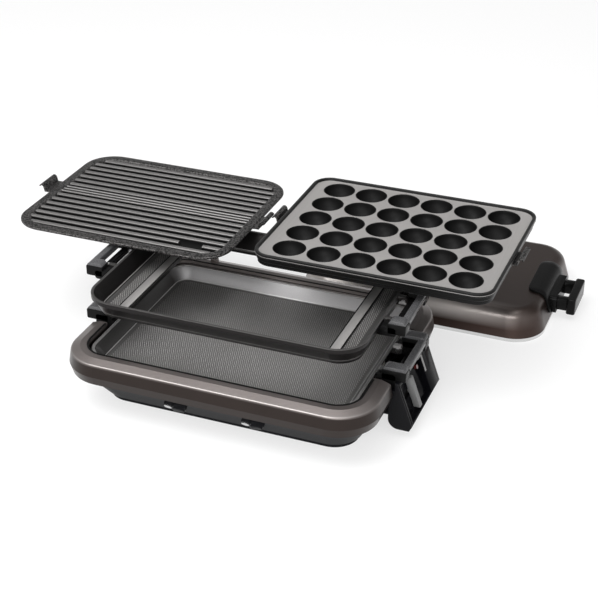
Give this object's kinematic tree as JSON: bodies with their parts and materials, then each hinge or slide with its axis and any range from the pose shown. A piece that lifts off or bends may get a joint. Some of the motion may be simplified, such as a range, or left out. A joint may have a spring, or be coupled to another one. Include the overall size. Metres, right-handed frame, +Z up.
{
  "type": "takoyaki maker",
  "caption": "Table-top electric hotplate shown opened up: griddle in its heated body, deep pan frame, ribbed plate, ball-cup plate for takoyaki and a domed lift-off lid.",
  "frame": {"origin": "on the table under the middle of the heated body, in the plane of its stand rim", "axes": "+X along the body to its control end, +Y to the back, +Z up"},
  "size_m": [0.65, 0.544, 0.158],
  "materials": {
    "bronze_paint": "glossy metallic brown lacquer",
    "coated_casting": "dark speckled non-stick coat on cast aluminium",
    "black_moulding": "satin black heat-proof moulding",
    "gloss_moulding": "glossy black moulding",
    "grey_moulding": "mid grey heat-proof moulding, fine grain",
    "bright_steel": "bright aluminised sheet steel",
    "heater_sheath": "heat-stained steel sheath",
    "nickel": "nickel plated",
    "trim_steel": "satin bare steel edge",
    "sensor_cap": "bare aluminium",
    "ceramic": "cream ceramic",
    "pilot_red": "clear red lens"
  },
  "bodies": {
    "body": {"base_tray": "black_moulding", "guard": "bronze_paint", "heat_shield": "bright_steel", "heater_element": "heater_sheath", "heater_cradles": "bright_steel", "terminal_block": "ceramic", "sensor_guide": "bright_steel", "control_housing": "gloss_moulding", "control_front_cap": "black_moulding", "thermostat_unit": "ceramic", "pilot_lens": "pilot_red", "inlet_pins": "nickel", "latch_pins": "nickel", "body_screws": "nickel"},
    "griddle": {"griddle_plate": "coated_casting", "griddle_bracket_left": "black_moulding", "griddle_bracket_right": "black_moulding", "griddle_grip_left": "grey_moulding", "griddle_grip_right": "grey_moulding", "griddle_pins": "nickel"},
    "frame": {"pan_frame": "coated_casting", "frame_bracket_left": "black_moulding", "frame_bracket_right": "black_moulding", "frame_grip_left": "grey_moulding", "frame_grip_right": "grey_moulding", "frame_pins": "nickel"},
    "cup_plate": {"ball_cup_plate": "coated_casting", "cup_plate_tabs": "coated_casting"},
    "rib_plate": {"ribbed_plate": "coated_casting", "ribbed_plate_tabs": "coated_casting"},
    "lid": {"lid_shell": "bronze_paint", "lid_trim": "trim_steel", "lid_bracket_left": "black_moulding", "lid_bracket_right": "black_moulding", "lid_grip_left": "black_moulding", "lid_grip_right": "black_moulding"},
    "sensor": {"thermostat_sensor": "sensor_cap"},
    "lever": {"temperature_lever": "grey_moulding"},
    "latch_left": {"front_latch_left": "black_moulding"},
    "latch_right": {"front_latch_right": "black_moulding"}
  },
  "joints": [
    {"name": "griddle_lift", "type": "slide", "parent": "body", "child": "griddle", "axis": [0, 0, 1], "range_m": [0, 0.08]},
    {"name": "frame_lift", "type": "slide", "parent": "griddle", "child": "frame", "axis": [0, 0, 1], "range_m": [-0.0337, 0.06]},
    {"name": "cup_plate_lift", "type": "slide", "parent": "frame", "child": "cup_plate", "axis": [0, 0, 1], "range_m": [0, 0.08]},
    {"name": "rib_plate_lift", "type": "slide", "parent": "frame", "child": "rib_plate", "axis": [0, 0, 1], "range_m": [0, 0.08]},
    {"name": "lid_lift", "type": "slide", "parent": "body", "child": "lid", "axis": [0, 0, 1], "range_m": [0, 0.06]},
    {"name": "sensor_press", "type": "slide", "parent": "body", "child": "sensor", "axis": [0, 0, 1], "range_m": [-0.002, 0], "stiffness_N_per_m": 400, "springref_m": 0.002},
    {"name": "temperature_slide", "type": "slide", "parent": "body", "child": "lever", "axis": [0, 1, 0], "range_m": [-0.018, 0.012]},
    {"name": "latch_turn_left", "type": "hinge", "parent": "body", "child": "latch_left", "pos_m": [-0.053, -0.11629, 0.029], "axis": [0, 0.7826, 0.6225], "range_deg": [0, 60]},
    {"name": "latch_turn_right", "type": "hinge", "parent": "body", "child": "latch_right", "pos_m": [0.039, -0.11629, 0.029], "axis": [0, 0.7826, 0.6225], "range_deg": [0, 60]}
  ]
}
